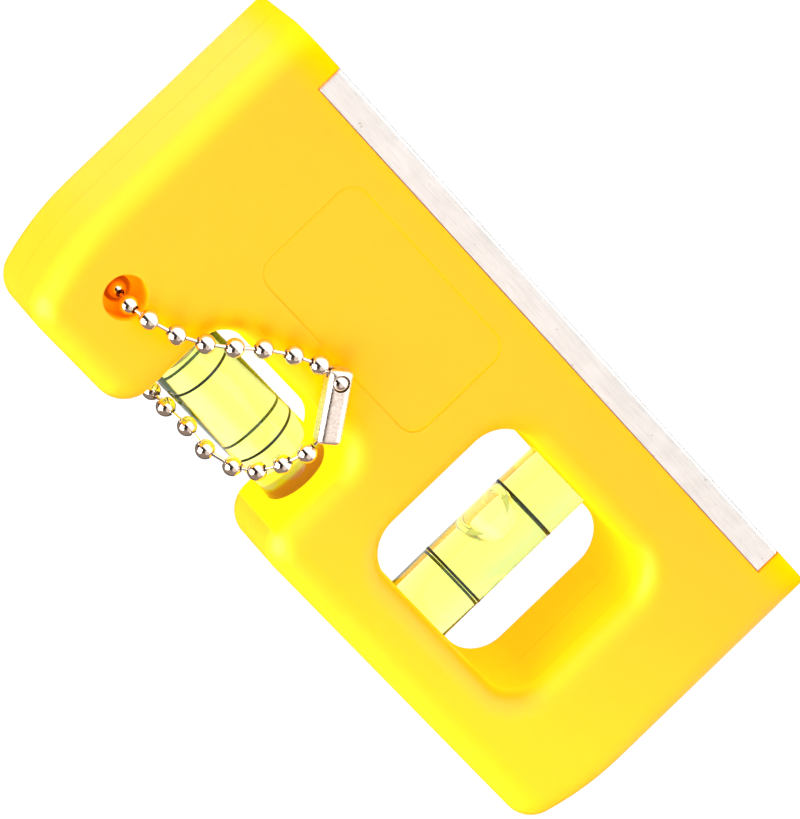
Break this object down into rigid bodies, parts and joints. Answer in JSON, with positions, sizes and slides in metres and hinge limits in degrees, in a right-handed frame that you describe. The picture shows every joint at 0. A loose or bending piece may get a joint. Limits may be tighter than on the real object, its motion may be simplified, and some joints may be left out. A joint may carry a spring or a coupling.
{
  "type": "pocket spirit level",
  "caption": "Pocket spirit level with moulded body, inlaid steel base bars, level and plumb vials, and a ball-chain loop with clasp through a corner hole.",
  "frame": {"origin": "centre of the base, midway along the length and midway through the thickness of the body", "axes": "+X along the length towards the chain-hole end, front face with the chain clasp at -Y, +Z from the base up to the notched top edge"},
  "size_m": [0.087, 0.0228, 0.0395],
  "materials": {
    "abs": "satin moulded",
    "steel_bar": "ground",
    "magnet": "nickel plated",
    "acrylic": "clear",
    "plug": "translucent",
    "liquid": "tinted clear",
    "bubble": "clear",
    "ring_ink": "printed band",
    "nickel": "polished nickel"
  },
  "bodies": {
    "level_body": {"front_shell": "abs", "back_shell": "abs", "front_base_bar": "steel_bar", "back_base_bar": "steel_bar", "magnet_left": "magnet", "magnet_right": "magnet", "level_tube": "acrylic", "level_plug": "plug", "level_liquid": "liquid", "level_rings": "ring_ink", "plumb_tube": "acrylic", "plumb_plug": "plug", "plumb_liquid": "liquid", "plumb_rings": "ring_ink"},
    "level_bubble": {"level_bubble": "bubble"},
    "plumb_bubble": {"plumb_bubble": "bubble"},
    "chain_core": {"chain_core_ball_1": "nickel", "chain_core_ball_2": "nickel", "chain_core_ball_3": "nickel", "chain_core_ball_4": "nickel"},
    "chain_front_1": {"chain_front_ball_1": "nickel"},
    "chain_front_2": {"chain_front_ball_2": "nickel"},
    "chain_front_3": {"chain_front_ball_3": "nickel"},
    "chain_front_4": {"chain_front_ball_4": "nickel"},
    "chain_front_5": {"chain_front_ball_5": "nickel"},
    "chain_front_6": {"chain_front_ball_6": "nickel"},
    "chain_front_7": {"chain_front_ball_7": "nickel"},
    "chain_front_8": {"chain_front_ball_8": "nickel"},
    "chain_front_9": {"chain_front_ball_9": "nickel"},
    "clasp": {"chain_clasp": "nickel", "chain_end_ball": "nickel"},
    "chain_rear_01": {"chain_rear_ball_01": "nickel"},
    "chain_rear_02": {"chain_rear_ball_02": "nickel"},
    "chain_rear_03": {"chain_rear_ball_03": "nickel"},
    "chain_rear_04": {"chain_rear_ball_04": "nickel"},
    "chain_rear_05": {"chain_rear_ball_05": "nickel"},
    "chain_rear_06": {"chain_rear_ball_06": "nickel"},
    "chain_rear_07": {"chain_rear_ball_07": "nickel"},
    "chain_rear_08": {"chain_rear_ball_08": "nickel"},
    "chain_rear_09": {"chain_rear_ball_09": "nickel"},
    "chain_rear_10": {"chain_rear_ball_10": "nickel"},
    "chain_rear_11": {"chain_rear_ball_11": "nickel"},
    "chain_rear_12": {"chain_rear_ball_12": "nickel"},
    "chain_rear_13": {"chain_rear_ball_13": "nickel"},
    "chain_rear_14": {"chain_rear_ball_14": "nickel"}
  },
  "joints": [
    {"name": "level_bubble_travel", "type": "slide", "parent": "level_body", "child": "level_bubble", "axis": [1, 0, 0], "range_m": [-0.0205, 0], "deforming": ["level_liquid"]},
    {"name": "plumb_bubble_travel", "type": "slide", "parent": "level_body", "child": "plumb_bubble", "axis": [0, 0, 1], "range_m": [-0.0072, 0.0097], "deforming": ["plumb_liquid"]},
    {"name": "chain_draw", "type": "slide", "parent": "level_body", "child": "chain_core", "axis": [0, 1, 0], "range_m": [-0.00025, 0.0001]},
    {"name": "front_swing_1", "type": "hinge", "parent": "chain_core", "child": "chain_front_1", "pos_m": [0.0355, -0.0045, 0.0312], "axis": [0, 1, 0], "range_deg": [-12, 0]},
    {"name": "front_swing_2", "type": "hinge", "parent": "chain_front_1", "child": "chain_front_2", "pos_m": [0.03457, -0.0075, 0.03148], "axis": [0, 1, 0], "range_deg": [-12, 0]},
    {"name": "front_swing_3", "type": "hinge", "parent": "chain_front_2", "child": "chain_front_3", "pos_m": [0.03283, -0.0098, 0.03106], "axis": [0, 1, 0], "range_deg": [-12, 0]},
    {"name": "front_swing_4", "type": "hinge", "parent": "chain_front_3", "child": "chain_front_4", "pos_m": [0.02957, -0.0098, 0.03011], "axis": [0, 1, 0], "range_deg": [-12, 0]},
    {"name": "front_swing_5", "type": "hinge", "parent": "chain_front_4", "child": "chain_front_5", "pos_m": [0.02667, -0.0098, 0.02863], "axis": [0, 1, 0], "range_deg": [-12, 0]},
    {"name": "front_swing_6", "type": "hinge", "parent": "chain_front_5", "child": "chain_front_6", "pos_m": [0.02416, -0.0098, 0.02682], "axis": [0, 1, 0], "range_deg": [-12, 0]},
    {"name": "front_swing_7", "type": "hinge", "parent": "chain_front_6", "child": "chain_front_7", "pos_m": [0.02184, -0.0098, 0.02478], "axis": [0, 1, 0], "range_deg": [-12, 0]},
    {"name": "front_swing_8", "type": "hinge", "parent": "chain_front_7", "child": "chain_front_8", "pos_m": [0.01904, -0.0098, 0.02301], "axis": [0, 1, 0], "range_deg": [-12, 0]},
    {"name": "front_swing_9", "type": "hinge", "parent": "chain_front_8", "child": "chain_front_9", "pos_m": [0.01632, -0.00985, 0.0218], "axis": [0, 1, 0], "range_deg": [-12, 0]},
    {"name": "clasp_swing", "type": "hinge", "parent": "chain_front_9", "child": "clasp", "pos_m": [0.01369, -0.01038, 0.02156], "axis": [0, 1, 0], "range_deg": [-6, 0]},
    {"name": "rear_swing_01", "type": "hinge", "parent": "chain_core", "child": "chain_rear_01", "pos_m": [0.0356, 0.0049, 0.0312], "axis": [0, 1, 0], "range_deg": [0, 8]},
    {"name": "rear_swing_02", "type": "hinge", "parent": "chain_rear_01", "child": "chain_rear_02", "pos_m": [0.0347, 0.0079, 0.03145], "axis": [0, 1, 0], "range_deg": [0, 8]},
    {"name": "rear_swing_03", "type": "hinge", "parent": "chain_rear_02", "child": "chain_rear_03", "pos_m": [0.0326, 0.01, 0.0321], "axis": [0, 1, 0], "range_deg": [0, 8]},
    {"name": "rear_swing_04", "type": "hinge", "parent": "chain_rear_03", "child": "chain_rear_04", "pos_m": [0.0296, 0.01038, 0.0329], "axis": [0, 1, 0], "range_deg": [0, 8]},
    {"name": "rear_swing_05", "type": "hinge", "parent": "chain_rear_04", "child": "chain_rear_05", "pos_m": [0.0266, 0.0101, 0.0336], "axis": [0, 1, 0], "range_deg": [0, 8]},
    {"name": "rear_swing_06", "type": "hinge", "parent": "chain_rear_05", "child": "chain_rear_06", "pos_m": [0.024, 0.0087, 0.0343], "axis": [0, 1, 0], "range_deg": [0, 8]},
    {"name": "rear_swing_07", "type": "hinge", "parent": "chain_rear_06", "child": "chain_rear_07", "pos_m": [0.0226, 0.006, 0.035], "axis": [0, 1, 0], "range_deg": [0, 8]},
    {"name": "rear_swing_08", "type": "hinge", "parent": "chain_rear_07", "child": "chain_rear_08", "pos_m": [0.0214, 0.0032, 0.0359], "axis": [0, 1, 0], "range_deg": [0, 8]},
    {"name": "rear_swing_09", "type": "hinge", "parent": "chain_rear_08", "child": "chain_rear_09", "pos_m": [0.02028, 0.00025, 0.036], "axis": [0, 1, 0], "range_deg": [0, 8]},
    {"name": "rear_swing_10", "type": "hinge", "parent": "chain_rear_09", "child": "chain_rear_10", "pos_m": [0.01791, -0.0017, 0.03581], "axis": [0, 1, 0], "range_deg": [0, 8]},
    {"name": "rear_swing_11", "type": "hinge", "parent": "chain_rear_10", "child": "chain_rear_11", "pos_m": [0.01542, -0.0034, 0.03612], "axis": [0, 1, 0], "range_deg": [0, 8]},
    {"name": "rear_swing_12", "type": "hinge", "parent": "chain_rear_11", "child": "chain_rear_12", "pos_m": [0.01258, -0.00485, 0.0353], "axis": [0, 1, 0], "range_deg": [0, 8]},
    {"name": "rear_swing_13", "type": "hinge", "parent": "chain_rear_12", "child": "chain_rear_13", "pos_m": [0.01098, -0.00638, 0.03381], "axis": [0, 1, 0], "range_deg": [0, 8]},
    {"name": "rear_swing_14", "type": "hinge", "parent": "chain_rear_13", "child": "chain_rear_14", "pos_m": [0.01034, -0.00807, 0.03147], "axis": [0, 1, 0], "range_deg": [0, 8]}
  ]
}
